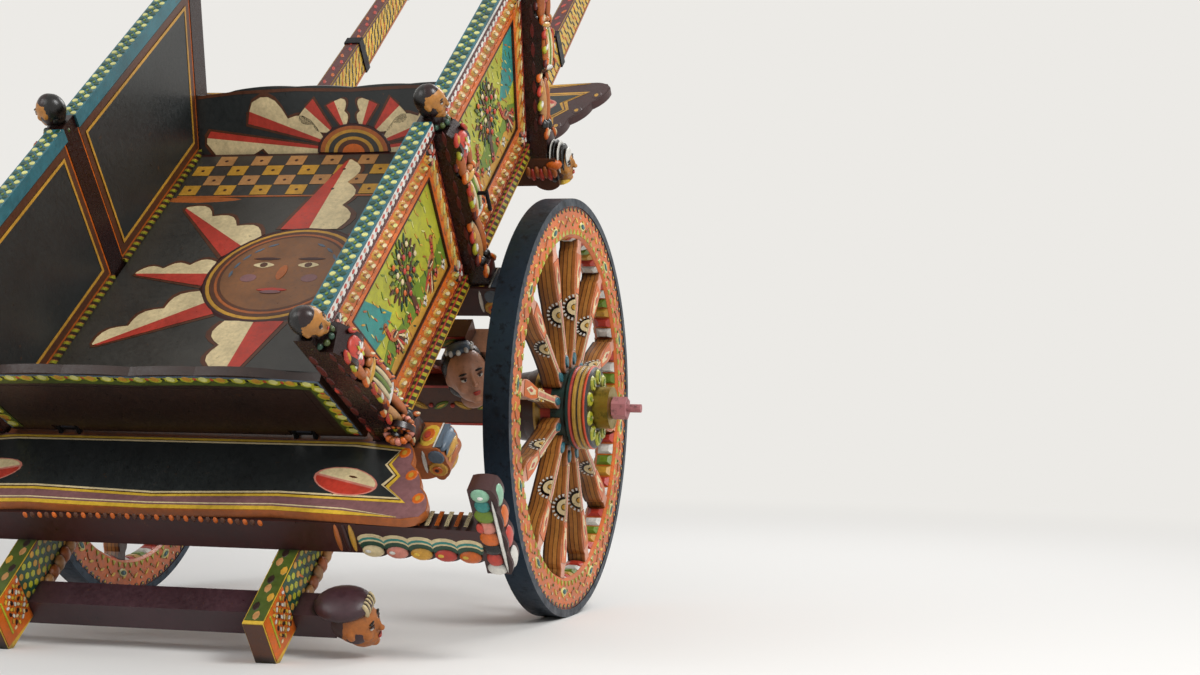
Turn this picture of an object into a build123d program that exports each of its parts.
from build123d import *
from math import cos, radians, sin, tan
import os

# A painted two-wheeled Sicilian cart, parked: tipped back on its wheels and on the tails of its shafts.
# The cart is drawn level, with x forward of the axle, y to its left and z above the axle's centre line.
# At the end every piece is tipped back about the axle and set on the floor.
# Sizes are in millimetres and angles in degrees.

# The wheels
wheel_diameter = 1100.0
tyre_thickness = 20.0
tyre_width = 66.0
felloe_depth = 82.0
felloe_width = 60.0
felloe_count = 6
felloe_gap = 0.4
spoke_count = 12
spoke_depth = 50.0
spoke_root = 14.0
spoke_waist = 9.0
spoke_shoulder = 21.0
spoke_bulge = 3.0
felloe_chamfer = 7.0
wheel_clearance = 47.0

# The hubs and the axle
hub_radius = 110.0
hub_outboard = 64.0
hub_inboard = 95.0
hub_groove = 8.0
hub_band = 14.0
hub_line = 4.0
bush_radius = 36.0
bush_flange_radius = 55.0
bush_flange_length = 42.0
arm_radius = 24.0
arm_clearance = 0.1
shoulder_radius = 42.0
shoulder_length = 8.0
running_gap = 2.0
stub_radius = 12.5
thread_length = 39.0
stub_end_radius = 11.0
stub_end_length = 36.0
nut_size = 52.0
nut_length = 38.0
axle_bar = 48.0

# The carved case over the axle and the bolster under the shafts
case_width = 110.0
case_height = 135.0
case_gap = 6.0
bolster_width = 76.0
bolster_height = 40.0
bolster_inset = 64.0
scroll_bar = 9.0
scroll_depth = 12.0
scroll_count = 7
bust_width = 104.0
bust_depth = 100.0
bust_inset = 58.0
bust_head = (52.0, 50.0, 78.0)
bust_forward = 34.0
bust_level = 176.5
bust_neck = 36.0

# The shafts
shaft_width = 48.0
shaft_height = 130.0
shaft_level = 323.0
shaft_spacing = 650.0
shaft_tip_x = 2200.0
shaft_taper_start = 620.0
shaft_tip_width = 38.0
shaft_tip_height = 68.0
shaft_neck_radius = 15.0
shaft_knob_length = 130.0
shaft_knob_radius = 27.0
shaft_foot_cut = 10.0
eye_bore_radius = 20.0
eye_wall = 9.0
eye_thickness = 12.0
band_length = 34.0
band_wall = 5.0
eye_back = 250.0
trace_band_x = 1350.0
hook_rod_radius = 5.0
hook_reach = 24.0
hook_spread = 22.0

# The cross bearers
bearer_height = 84.0
bearer_width = 92.0
bearer_head = (40.0, 38.0, 56.0)
bearer_head_drop = 42.0
bearer_head_out = 8.0
scroll_reach = 68.0
scroll_drop = 16.0
middle_scroll_reach = 28.0
lump_reach = 44.0
lump_drop = 30.0
shelf_bearer_inset = 86.0
rear_bearer_inset = 30.0
shelf_bearer_width = 50.0
shelf_bearer_half_length = 500.0
arm_reach = 778.0
arm_drop = 10.0
arm_lobes = 5
arm_overlap = 1.0
figure_width = 54.0
figure_top = 578.0
figure_low = 342.0
figure_lobes = 4
tail_bearer_x = -1085.0
tail_bearer_low = 236.0
tail_bearer_width = 70.0
tail_bearer_height = 66.0
tail_bearer_half_length = 440.0
tail_bust = (46.0, 44.0, 50.0)
tail_bust_out = 40.0
tail_hat = (50.0, 62.0, 25.0)
tail_hat_rise = 56.0

# The box
floor_thickness = 22.0
box_half_width = 500.0
panel_thickness = 28.0
panel_border = 58.0
panel_recess = 5.0
rail_height = 36.0
rail_width = 46.0
side_height = 474.0
post_lean = 27.0
post_width = 70.0
post_depth = 88.0
post_proud = 58.0
middle_post_x = -80.0
rear_edge_x = -662.0
front_edge_x = 484.0
post_waist = 20.0
post_swell = 10.0

# How far up a post each part of its carved side begins, as a share of its length
foot_top = 0.1
leg_low = 0.15
leg_high = 0.38
belly_low = 0.42
belly_high = 0.64
chest_low = 0.68
chest_high = 0.72
shoulder_low = 0.76
shoulder_high = 0.88

# The rings and heads of the posts
post_ring_radius = 37.0
post_ring_bore = 20.0
post_ring_thickness = 14.0
post_ring_level = 552.0
post_ring_inset = 8.0
head_size = (31.0, 34.0, 44.0)
head_height = 88.0
neck_height = 26.0
neck_radius = 20.0
collar_radius = 28.0
collar_height = 12.0
neck_drop = 34.0
fit_gap = 0.3

# The tailgate, the front board and the shelves
tailgate_length = 316.0
tailgate_thickness = 22.0
tailgate_gap = 6.0
tailgate_setback = 42.0
tailgate_side_gap = 22.0
tailgate_wave = 26.0
hinge_pin_radius = 5.0
hinge_pin_clearance = 0.1
hinge_eye_radius = 10.0
hinge_length = 36.0
hinge_place = 300.0
hinge_gap = 2.0
hinge_lug = 8.0
hinge_leaf = 4.0
hinge_leaf_length = 120.0
front_board_length = 190.0
front_board_wave = 22.0
crest_top = 0.36
crest_foot = 0.74
shelf_rear_x = -1012.0
shelf_front_x = 850.0
shelf_lobe = 9.0
shelf_lobes = (
    # share of the side's length, how far in from the wheel's outer face
    (0, 120.0),
    (1 / 3, 90.0),
    (2 / 3, 45.0),
)
shelf_corner_depth = 30.0
shelf_corner_width = 60.0
shelf_wave = 16.0
shelf_wave_place = 0.45
edge_lobe = 9.0

# The pose in which it parks
tip_back = 38.0

# Places worked out from the sizes above
wheel_radius = wheel_diameter / 2
post_out = box_half_width + post_proud
face_offset = post_out + wheel_clearance + tyre_width
shelf_flare = face_offset
felloe_outer = wheel_radius - tyre_thickness
felloe_inner = felloe_outer - felloe_depth
tyre_out = face_offset
tyre_in = face_offset - tyre_width
felloe_out = face_offset - (tyre_width - felloe_width) / 2
felloe_in = felloe_out - felloe_width
hub_out = tyre_out + hub_outboard
hub_in = tyre_in - hub_inboard
bush_out = hub_out + bush_flange_length
arm_out = bush_out + running_gap
thread_out = arm_out + thread_length
stub_out = thread_out + stub_end_length
shoulder_out = hub_in - running_gap
shoulder_in = shoulder_out - shoulder_length
case_half_length = shoulder_in - case_gap
case_low = -axle_bar / 2
case_top = case_low + case_height
shaft_low = shaft_level - shaft_height / 2
shaft_top = shaft_level + shaft_height / 2
shaft_y = shaft_spacing / 2
bolster_low = shaft_low - bolster_height
bolster_half_length = case_half_length - bolster_inset
bust_place = case_half_length - bust_inset
floor_low = shaft_top + bearer_height
floor_top = floor_low + floor_thickness
side_top = floor_low + side_height
panel_low = floor_low + rail_height
panel_top = side_top - rail_height
hook_level = floor_low + side_height * (belly_low + belly_high) / 2
post_in = box_half_width - panel_thickness - (post_depth - post_proud - panel_thickness)
rail_in = box_half_width - panel_thickness / 2 - rail_width / 2
rail_out = rail_in + rail_width
lean_slope = tan(radians(post_lean))
post_run = post_width / cos(radians(post_lean))
tip_sine = sin(radians(tip_back))
tip_cosine = cos(radians(tip_back))
rear_bearer_x = rear_edge_x - post_run / 2
front_bearer_x = front_edge_x + post_run / 2
hinge_z = floor_top + tailgate_gap + tailgate_thickness / 2
hinge_x = rear_edge_x - (hinge_z - floor_low) * lean_slope
hinge_x -= (tailgate_thickness / 2 + tailgate_setback) / cos(radians(post_lean))
shaft_tail_x = -(wheel_radius + shaft_foot_cut + shaft_low * tip_cosine) / tip_sine
sides = (("left", 1), ("right", -1))


# Shared shapes
def block(x_low, x_high, y_low, y_high, z_low, z_high):
    centre = ((x_low + x_high) / 2, (y_low + y_high) / 2, (z_low + z_high) / 2)
    return Pos(*centre) * Box(x_high - x_low, y_high - y_low, z_high - z_low)


def side_prism(points, y_low, y_high):
    outline = Polyline([(x, y_low, z) for x, z in points], close=True)
    return extrude(make_face(outline), y_high - y_low, dir=(0, 1, 0))


def plan_prism(points, z_low, z_high):
    outline = Polyline([(x, y, z_low) for x, y in points], close=True)
    return extrude(make_face(outline), z_high - z_low, dir=(0, 0, 1))


def curved_prism(points, axis, low, high):
    # Each corner is two places in the plane and how far the edge after it bulges to its left.
    spot = {
        "x": lambda a, b: (low, a, b),
        "y": lambda a, b: (a, low, b),
        "z": lambda a, b: (a, b, low),
    }[axis]
    edges = []
    for here, there in zip(points, list(points[1:]) + [points[0]]):
        a, b = there[0] - here[0], there[1] - here[1]
        length = (a * a + b * b) ** 0.5
        start, end = spot(here[0], here[1]), spot(there[0], there[1])
        if here[2]:
            middle = spot(
                (here[0] + there[0]) / 2 - b / length * here[2],
                (here[1] + there[1]) / 2 + a / length * here[2],
            )
            edges.append(ThreePointArc(start, middle, end))
        else:
            edges.append(Line(start, end))
    direction = {"x": (1, 0, 0), "y": (0, 1, 0), "z": (0, 0, 1)}[axis]
    return extrude(make_face(edges), high - low, dir=direction)


def carved_head(size):
    return scale(Sphere(1), by=size)


def turned(points):
    outline = Polyline([(radius, y, 0) for radius, y in points], close=True)
    return revolve(make_face(outline), Axis.Y)


def ring(inner, outer, y_low, y_high):
    return turned([(inner, y_low), (outer, y_low), (outer, y_high), (inner, y_high)])


def mirrored(shape, side):
    return shape if side > 0 else mirror(shape, Plane.XZ)


def rear_edge(z):
    return rear_edge_x - (z - floor_low) * lean_slope


def front_edge(z):
    return front_edge_x + (z - floor_low) * lean_slope


# The wheels, drawn for the left side
def tyre():
    return ring(felloe_outer, wheel_radius, tyre_in, tyre_out)


def felloes():
    chamfer = felloe_chamfer
    whole = turned([
        (felloe_inner, felloe_in + chamfer),
        (felloe_inner + chamfer, felloe_in),
        (felloe_outer, felloe_in),
        (felloe_outer, felloe_out),
        (felloe_inner + chamfer, felloe_out),
        (felloe_inner, felloe_out - chamfer),
    ])
    step = 360 / felloe_count
    saw = block(-felloe_gap / 2, felloe_gap / 2, felloe_in - 1, felloe_out + 1, 0, wheel_radius)
    for number in range(felloe_count):
        whole -= Rot(0, step * (number + 0.5), 0) * saw
    return whole


def spokes():
    middle = (felloe_in + felloe_out) / 2
    low = hub_radius - hub_groove
    reach = felloe_inner - low
    stations = (
        # half width, share of the length, bulge
        (spoke_root, 0.0, 0),
        (spoke_root, 0.08, -spoke_bulge),
        (spoke_waist, 0.16, 0),
        (spoke_waist + spoke_bulge, 0.56, spoke_bulge),
        (spoke_shoulder, 0.74, -spoke_bulge),
        (spoke_shoulder, 0.9, 0),
        (spoke_root, 0.94, 0),
        (spoke_root + spoke_bulge, 1.0, 0),
    )
    right = [(width, low + share * reach, bulge) for width, share, bulge in stations]
    bulges = [bulge for width, share, bulge in stations]
    left = [
        (-width, low + share * reach, bulge)
        for (width, share, _), bulge in zip(reversed(stations), [0] + bulges[-2::-1])
    ]
    blade = curved_prism(right + left, "y", middle - spoke_depth / 2, middle + spoke_depth / 2)
    blade &= ring(low, felloe_inner, felloe_in, felloe_out)
    step = 360 / spoke_count
    return Compound([Rot(0, step * (number + 0.5), 0) * blade for number in range(spoke_count)])


def hub():
    middle = (felloe_in + felloe_out) / 2
    low = hub_radius - hub_groove
    seat = spoke_depth / 2 + hub_groove
    drum = middle + seat + hub_groove
    profile = [
        (bush_radius, hub_in),
        (hub_radius - 3 * hub_groove, hub_in),
        (hub_radius - 2 * hub_groove, hub_in + hub_inboard / 2),
        (hub_radius, middle - seat - hub_groove),
        (low, middle - seat),
        (low, middle + seat),
        (hub_radius, drum),
    ]
    for number in (1, 2, 3):
        place = drum + number * hub_band
        profile.append((hub_radius, place - hub_line))
        profile.append((hub_radius - hub_line, place))
        profile.append((hub_radius, place + hub_line))
    profile += [
        (hub_radius, hub_out - hub_groove),
        (hub_radius - hub_groove, hub_out),
        (bush_radius, hub_out),
    ]
    return turned(profile)


def bush():
    bore = arm_radius + arm_clearance
    profile = (
        (bore, hub_in),
        (bush_radius, hub_in),
        (bush_radius, hub_out),
        (bush_flange_radius, hub_out),
        (bush_flange_radius, bush_out),
        (bore, bush_out),
    )
    return turned(profile)


# The axle and its nuts
def axle():
    half = axle_bar / 2
    bar = block(-half, half, -shoulder_in, shoulder_in, -half, half)
    profile = (
        (0, shoulder_in),
        (shoulder_radius, shoulder_in),
        (shoulder_radius, shoulder_out),
        (arm_radius, shoulder_out),
        (arm_radius, arm_out),
        (stub_radius, arm_out),
        (stub_radius, thread_out),
        (stub_end_radius, thread_out),
        (stub_end_radius, stub_out),
        (0, stub_out),
    )
    arm = turned(profile)
    return bar + arm + mirrored(arm, -1)


def axle_nuts():
    outline = Plane((0, arm_out, 0), x_dir=(1, 0, 0), z_dir=(0, 1, 0))
    hexagon = outline * RegularPolygon(nut_size / 2, 6, major_radius=False)
    nut = extrude(hexagon, nut_length, dir=(0, 1, 0))
    nut -= ring(0, stub_radius, arm_out, arm_out + nut_length)
    return Compound([nut, mirrored(nut, -1)])


def axle_case():
    half = case_width / 2
    beam = block(-half, half, -case_half_length, case_half_length, case_low, case_top)
    slot = axle_bar / 2 + fit_gap
    beam -= block(-slot, slot, -case_half_length, case_half_length, case_low, slot)
    return beam


def bolster():
    half = bolster_width / 2
    return block(-half, half, -bolster_half_length, bolster_half_length, bolster_low, shaft_low)


def axle_ironwork():
    height = bolster_low - case_top
    reach = bust_place - bust_width / 2 - case_gap
    radius = height / 2 - scroll_bar / 2
    middle = case_top + height / 2
    low, high = -scroll_depth / 2, scroll_depth / 2
    bars = block(low, high, -reach, reach, case_top, case_top + scroll_bar)
    bars += block(low, high, -reach, reach, bolster_low - scroll_bar, bolster_low)
    step = 2 * (reach - radius) / (scroll_count - 1)
    for number in range(scroll_count):
        place = Pos(0, -(reach - radius) + number * step, middle) * Rot(0, 90, 0)
        hoop = Cylinder(radius, scroll_depth) - Cylinder(radius - scroll_bar, scroll_depth)
        bars += place * hoop
    return bars


def axle_bust():
    half = bust_width / 2
    depth = bust_depth / 2
    middle = (case_top + bolster_low) / 2
    block_behind = block(-depth, depth, bust_place - half, bust_place + half, case_top, bolster_low)
    place = (-depth - bust_forward, bust_place, bust_level)
    neck_place = Pos(-depth - bust_forward / 2, bust_place, middle) * Rot(0, 90, 0)
    neck = neck_place * Cylinder(bust_neck, bust_forward)
    return block_behind + neck + Pos(*place) * carved_head(bust_head)


# The shafts with their irons
def shaft():
    half = shaft_width / 2
    tip_half = shaft_tip_width / 2
    tip_low = shaft_level - shaft_tip_height / 2
    tip_top = shaft_level + shaft_tip_height / 2
    beam_end = shaft_tip_x - shaft_knob_length
    side = (
        (shaft_tail_x, shaft_low),
        (shaft_taper_start, shaft_low),
        (beam_end, tip_low),
        (beam_end, tip_top),
        (shaft_taper_start, shaft_top),
        (shaft_tail_x, shaft_top),
    )
    plan = (
        (shaft_tail_x, shaft_y - half),
        (shaft_taper_start, shaft_y - half),
        (beam_end, shaft_y - tip_half),
        (beam_end, shaft_y + tip_half),
        (shaft_taper_start, shaft_y + half),
        (shaft_tail_x, shaft_y + half),
    )
    beam = side_prism(side, shaft_y - shaft_width, shaft_y + shaft_width)
    beam &= plan_prism(plan, shaft_low - shaft_height, shaft_top + shaft_height)
    knob = (
        # radius, distance from the end of the beam
        (0, 0),
        (shaft_neck_radius, 0),
        (shaft_neck_radius, shaft_knob_length * 0.3),
        (shaft_knob_radius * 0.8, shaft_knob_length * 0.4),
        (shaft_knob_radius * 0.9, shaft_knob_length * 0.85),
        (shaft_knob_radius * 0.5, shaft_knob_length),
        (0, shaft_knob_length),
    )
    place = Pos(beam_end, shaft_y, shaft_level) * Rot(0, 0, -90)
    return beam + place * turned(knob) - under_floor() - tail_beam()


def under_floor():
    depth = 4 * shaft_foot_cut
    reach = wheel_diameter * 2
    slab = block(-reach, reach, -face_offset, face_offset, -wheel_radius - depth, -wheel_radius)
    return Rot(0, tip_back, 0) * slab


def shaft_half_size_at(x):
    share = (x - shaft_taper_start) / (shaft_tip_x - shaft_knob_length - shaft_taper_start)
    width = shaft_width + (shaft_tip_width - shaft_width) * share
    height = shaft_height + (shaft_tip_height - shaft_height) * share
    return width / 2, height / 2


def shaft_band(x):
    half_width, half_height = shaft_half_size_at(x)
    return block(
        x,
        x + band_length,
        shaft_y - half_width - band_wall,
        shaft_y + half_width + band_wall,
        shaft_level - half_height - band_wall,
        shaft_level + half_height + band_wall,
    )


def shaft_irons():
    start = shaft_tip_x - shaft_knob_length - eye_back
    half_width, half_height = shaft_half_size_at(start)
    eye_radius = eye_bore_radius + eye_wall
    eye_y = shaft_y + half_width + eye_radius
    place = Pos(start + band_length / 2, eye_y, shaft_level) * Rot(0, 90, 0)
    iron = shaft_band(start) + place * Cylinder(eye_radius, eye_thickness)
    iron -= place * Cylinder(eye_bore_radius, band_length)
    wood = shaft()
    return Compound([iron - wood, shaft_band(trace_band_x) - wood])


# The cross bearers, each with a carved head on either end
def bearer(x, width, z_low, height, half_length):
    return block(x - width / 2, x + width / 2, -half_length, half_length, z_low, z_low + height)


def scrolled_bearer(x, reach):
    # The end widens outside the post and curls under in two lobes.
    top = shaft_top + bearer_height
    end = post_out + reach
    lobe = reach / 2
    half = bearer_width / 2
    scroll = curved_prism((
        (post_out - lobe, top, 0),
        (end - lobe / 2, top, lobe / 6),
        (end, top - bearer_height / 2, lobe / 4),
        (end - lobe / 4, shaft_top, scroll_drop / 2),
        (end - lobe, shaft_top, scroll_drop / 2),
        (post_out - lobe, shaft_top, 0),
    ), "x", x - half, x + half)
    beam = bearer(x, bearer_width, shaft_top, bearer_height, post_out)
    return beam + scroll + mirrored(scroll, -1)


def bearer_with_heads(x):
    # A round-bellied end with a head that looks outward.
    top = shaft_top + bearer_height
    end = post_out + lump_reach / 2
    half = bearer_width / 2
    belly = curved_prism((
        (post_out - lump_reach, top, 0),
        (end, top, 0),
        (end, shaft_top, lump_drop / 2),
        (post_out - lump_reach, shaft_top, 0),
    ), "x", x - half, x + half)
    head = Pos(x, post_out + bearer_head_out, top - bearer_head_drop) * carved_head(bearer_head)
    under_post = post_out + fit_gap
    head -= block(x - bearer_width, x + bearer_width, 0, under_post, top, top + bearer_height)
    end_piece = belly + head
    beam = bearer(x, bearer_width, shaft_top, bearer_height, post_out)
    return beam + end_piece + mirrored(end_piece, -1)


def tail_beam():
    half_length = tail_bearer_half_length
    return bearer(tail_bearer_x, tail_bearer_width, tail_bearer_low, tail_bearer_height, half_length)


def tail_bearer():
    # The beam is let into the underside of the shafts.
    level = tail_bearer_low + tail_bearer_height / 4
    place = Pos(tail_bearer_x, tail_bearer_half_length + tail_bust_out, level)
    hat = Pos(0, -tail_bust_out / 2, tail_hat_rise) * carved_head(tail_hat)
    head = place * (carved_head(tail_bust) + hat)
    return tail_beam() + head + mirrored(head, -1)


def shelf_bearers():
    # The rear one runs on outside the shelf in a lobed arm with a standing figure at its end.
    half = shelf_bearer_width / 2
    front_x = shelf_front_x - shelf_bearer_inset
    rear_x = shelf_rear_x + rear_bearer_inset
    reach = shelf_bearer_half_length
    front = block(front_x - half, front_x + half, -reach, reach, shaft_top, floor_low)
    rear = block(rear_x - half, rear_x + half, -reach, reach, shaft_top, floor_low)
    step = (arm_reach - reach) / arm_lobes
    arm_end = arm_reach + arm_overlap
    arm = [(reach - step, shaft_top, 0), (reach - step, floor_low, 0), (arm_end, floor_low - arm_drop, 0)]
    for number in range(arm_lobes):
        drop = arm_drop * (1 - number / arm_lobes)
        arm.append((arm_end - number * step, shaft_top - drop, edge_lobe))
    arm.append((arm_end - arm_lobes * step, shaft_top, 0))
    shape = curved_prism(arm, "x", rear_x - half, rear_x + half)
    step = (figure_top - figure_low) / figure_lobes
    figure = [(arm_reach, figure_low, 0), (arm_reach, figure_top, edge_lobe / 2)]
    for number in range(figure_lobes):
        figure.append((arm_reach + figure_width, figure_top - number * step, edge_lobe))
    figure.append((arm_reach + figure_width, figure_low, 0))
    shape += curved_prism(figure, "x", rear_x - half, rear_x + half)
    return Compound([front, rear + shape + mirrored(shape, -1)])


# The box
def floor_boards():
    half = rail_in - fit_gap
    return block(rear_edge_x, front_edge_x, -half, half, floor_low, floor_top)


def post(lean, foot_x):
    slope = tan(radians(lean))
    run = post_width / cos(radians(lean))
    top_shift = side_height * slope
    outer = post_out + post_swell
    outline = side_prism((
        (foot_x - run / 2, floor_low),
        (foot_x + run / 2, floor_low),
        (foot_x + run / 2 + top_shift, side_top),
        (foot_x - run / 2 + top_shift, side_top),
    ), post_in, outer)
    # The outer side is carved: a foot, a waist, a belly and a pair of shoulders.
    length = side_height / cos(radians(lean))
    waist = post_out - post_waist
    profile = (
        # y, distance up the post, bulge
        (post_in, -post_width, 0),
        (post_out, -post_width, 0),
        (post_out, length * foot_top, 0),
        (waist, length * leg_low, 0),
        (waist, length * leg_high, 0),
        (post_out, length * belly_low, -post_swell),
        (post_out, length * belly_high, 0),
        (waist, length * chest_low, 0),
        (waist, length * chest_high, 0),
        (post_out, length * shoulder_low, -post_swell),
        (post_out, length * shoulder_high, 0),
        (waist, length - neck_drop, 0),
        (rail_out, length - neck_drop, 0),
        (rail_out, length + post_width, 0),
        (post_in, length + post_width, 0),
    )
    leaned = Pos(foot_x, 0, floor_low) * Rot(0, lean, 0)
    body = outline & leaned * curved_prism(profile, "x", -post_width, post_width)
    place = leaned * Pos(0, (post_in + waist) / 2, length - neck_drop)
    neck = Pos(0, 0, neck_height / 2) * Cylinder(neck_radius, neck_height * 2)
    collar = Pos(0, 0, neck_height / 2) * Cylinder(collar_radius, collar_height)
    head = Pos(0, 0, neck_height + head_height / 2) * carved_head(head_size)
    return body + place * (neck + collar + head)


def rear_post():
    body = post(-post_lean, rear_edge_x - post_run / 2)
    up = (post_ring_level - floor_low) * lean_slope
    place = Pos(rear_edge_x - post_run - up, post_out - post_ring_inset, post_ring_level)
    place *= Rot(0, 90 - post_lean, 0)
    disc = Cylinder(post_ring_radius, post_ring_thickness)
    return body + place * (disc - Cylinder(post_ring_bore, post_ring_thickness))


def middle_post():
    return post(0, middle_post_x)


def front_post():
    return post(post_lean, front_edge_x + post_run / 2)


def bay(z_low, z_high, is_rear):
    inner = middle_post_x - post_width / 2 if is_rear else middle_post_x + post_width / 2
    edge = rear_edge if is_rear else front_edge
    return [(inner, z_low), (edge(z_low), z_low), (edge(z_high), z_high), (inner, z_high)]


def panel(is_rear):
    outline = bay(panel_low, panel_top, is_rear)
    plate = side_prism(outline, box_half_width - panel_thickness, box_half_width)
    field = Polyline([(x, box_half_width, z) for x, z in outline], close=True)
    inner = offset(make_face(field), -panel_border)
    return plate - extrude(inner, panel_recess, dir=(0, -1, 0))


def rails(z_low, z_high):
    pair = [side_prism(bay(z_low, z_high, is_rear), rail_in, rail_out) for is_rear in (True, False)]
    return Compound(pair)


def leaning_board(foot_x, lean, length, thickness, half_width, wave):
    outline = wavy_board(0, length, half_width, wave)
    board = curved_prism(outline, "x", 0, thickness)
    leaned = Pos(foot_x, 0, floor_top) * Rot(0, lean, 0) * board
    below = block(foot_x - length, foot_x + length, -half_width, half_width, floor_low, floor_top)
    return leaned - below


def wavy_board(bottom, top, half_width, wave):
    # The upper edge rises to two crests and dips in the middle.
    return (
        # y, distance up the board, bulge
        (-half_width, bottom, 0),
        (half_width, bottom, 0),
        (half_width, top - wave, wave / 4),
        (half_width * crest_foot, top - wave / 2, -wave / 4),
        (half_width * crest_top, top - wave / 4, -wave / 6),
        (0, top - wave / 2, -wave / 6),
        (-half_width * crest_top, top - wave / 4, -wave / 4),
        (-half_width * crest_foot, top - wave / 2, wave / 4),
        (-half_width, top - wave, 0),
    )


def front_board():
    half = post_in - fit_gap
    foot = front_edge(floor_top) + fit_gap
    return leaning_board(foot, post_lean, front_board_length, tailgate_thickness, half, front_board_wave)


def shelf(edge_x, end_x):
    # The side edges step out towards the end in lobes, and the outer edge has a slow wave.
    grow = 1 if end_x > edge_x else -1
    half = rail_in - fit_gap
    past_post = edge_x + grow * (floor_thickness * lean_slope + post_run + fit_gap)
    corner = end_x - grow * shelf_corner_depth
    side_length = corner - past_post
    left = [
        # x, y, bulge
        (edge_x, half, 0),
        (past_post, half, 0),
        *[(past_post + side_length * share, shelf_flare - inset, shelf_lobe) for share, inset in shelf_lobes],
        (corner, shelf_flare - shelf_lobe, shelf_lobe),
        (end_x, shelf_flare - shelf_corner_width, 0),
        (end_x - grow * shelf_wave, shelf_flare * shelf_wave_place, shelf_wave / 2),
    ]
    if grow < 0:
        left = [(x, y, -bulge) for x, y, bulge in left]
    bulges = [bulge for x, y, bulge in left]
    right = [(x, -y, bulge) for (x, y, _), bulge in zip(reversed(left), bulges[-2::-1] + [0])]
    return curved_prism(left + right, "z", floor_low, floor_top)


# The tailgate and its hinges, drawn upright over the hinge line and then leaned back
def at_hinge(shape):
    return Pos(hinge_x, 0, hinge_z) * Rot(0, -post_lean, 0) * shape


def tailgate_board():
    half_width = post_in - tailgate_side_gap
    half = tailgate_thickness / 2
    board = curved_prism(wavy_board(0, tailgate_length, half_width, tailgate_wave), "x", -half, half)
    board += Rot(90, 0, 0) * Cylinder(half, 2 * half_width)
    notch = hinge_length / 2 + hinge_gap + hinge_lug + tailgate_gap
    for _, side in sides:
        y = side * hinge_place
        board -= block(-half, half, y - notch, y + notch, -half, hinge_eye_radius * 2 + hinge_leaf)
    return at_hinge(board)


def tailgate_straps():
    straps = []
    half = tailgate_thickness / 2
    length = hinge_length / 2
    for _, side in sides:
        y = side * hinge_place
        eye = Pos(0, y, 0) * Rot(90, 0, 0) * Cylinder(hinge_eye_radius, hinge_length)
        leaf = block(half, half + hinge_leaf, y - length, y + length, 0, hinge_leaf_length)
        web = block(0, half + hinge_leaf, y - length, y + length, 0, hinge_eye_radius)
        strap = eye + leaf + web
        bore = hinge_pin_radius + hinge_pin_clearance
        straps.append(strap - Pos(0, y, 0) * Rot(90, 0, 0) * Cylinder(bore, 2 * hinge_length))
    return at_hinge(Compound(straps))


def hinge_brackets():
    brackets = []
    inner = hinge_length / 2 + hinge_gap
    outer = inner + hinge_lug
    for _, side in sides:
        y = side * hinge_place
        pin = Pos(hinge_x, y, hinge_z) * Rot(90, 0, 0) * Cylinder(hinge_pin_radius, 2 * outer)
        for low, high in ((-outer, -inner), (inner, outer)):
            pin += block(
                hinge_x - hinge_eye_radius,
                hinge_x + hinge_eye_radius,
                y + low,
                y + high,
                floor_top,
                hinge_z + hinge_pin_radius + hinge_gap,
            )
        brackets.append(pin)
    return Compound(brackets)


def post_hook():
    start = post_out + post_swell
    bar = Rot(90, 0, 0) * Cylinder(hook_rod_radius, hook_reach)
    arm = Pos(middle_post_x, start + hook_reach / 2, hook_level) * bar
    drop = Pos(middle_post_x, start + hook_reach, hook_level - hook_spread)
    return arm + drop * Cylinder(hook_rod_radius, 2 * (hook_spread + hook_rod_radius))


nodes = {
    "axle": axle(),
    "axle_nuts": axle_nuts(),
    "axle_case": axle_case(),
    "bolster": bolster(),
    "axle_ironwork": axle_ironwork(),
    "shelf_bearers": shelf_bearers(),
    "floor_boards": floor_boards(),
    "rear_shelf": shelf(rear_edge_x, shelf_rear_x),
    "front_shelf": shelf(front_edge_x, shelf_front_x),
    "front_board": front_board(),
    "tailgate_board": tailgate_board(),
    "tailgate_straps": tailgate_straps(),
    "hinge_brackets": hinge_brackets(),
}
nodes["bearer_rear"] = scrolled_bearer(rear_bearer_x, scroll_reach)
nodes["bearer_middle"] = scrolled_bearer(middle_post_x, middle_scroll_reach)
nodes["bearer_front"] = bearer_with_heads(front_bearer_x)
nodes["bearer_tail"] = tail_bearer()
paired = {
    "tyre": tyre(),
    "felloes": felloes(),
    "spokes": spokes(),
    "hub": hub(),
    "bush": bush(),
    "axle_bust": axle_bust(),
    "shaft": shaft(),
    "shaft_irons": shaft_irons(),
    "post_hook": post_hook(),
    "post_rear": rear_post(),
    "post_middle": middle_post(),
    "post_front": front_post(),
    "panel_rear": panel(True),
    "panel_front": panel(False),
    "bottom_rails": rails(floor_low, panel_low),
    "top_rails": rails(panel_top, side_top),
}
for side_name, side in sides:
    for name, shape in paired.items():
        nodes[f"{name}_{side_name}"] = mirrored(shape, side)

# Tip every piece back, set it on the floor and centre the whole fore and aft
tipped = Pos(0, 0, wheel_radius) * Rot(0, -tip_back, 0)
parked = {name: tipped * shape for name, shape in nodes.items()}
whole = Compound(list(parked.values())).bounding_box()
centre_x = (whole.min.X + whole.max.X) / 2
os.makedirs("parts", exist_ok=True)
for name, shape in parked.items():
    export_step(Pos(-centre_x, 0, 0) * shape, f"parts/{name}.step")
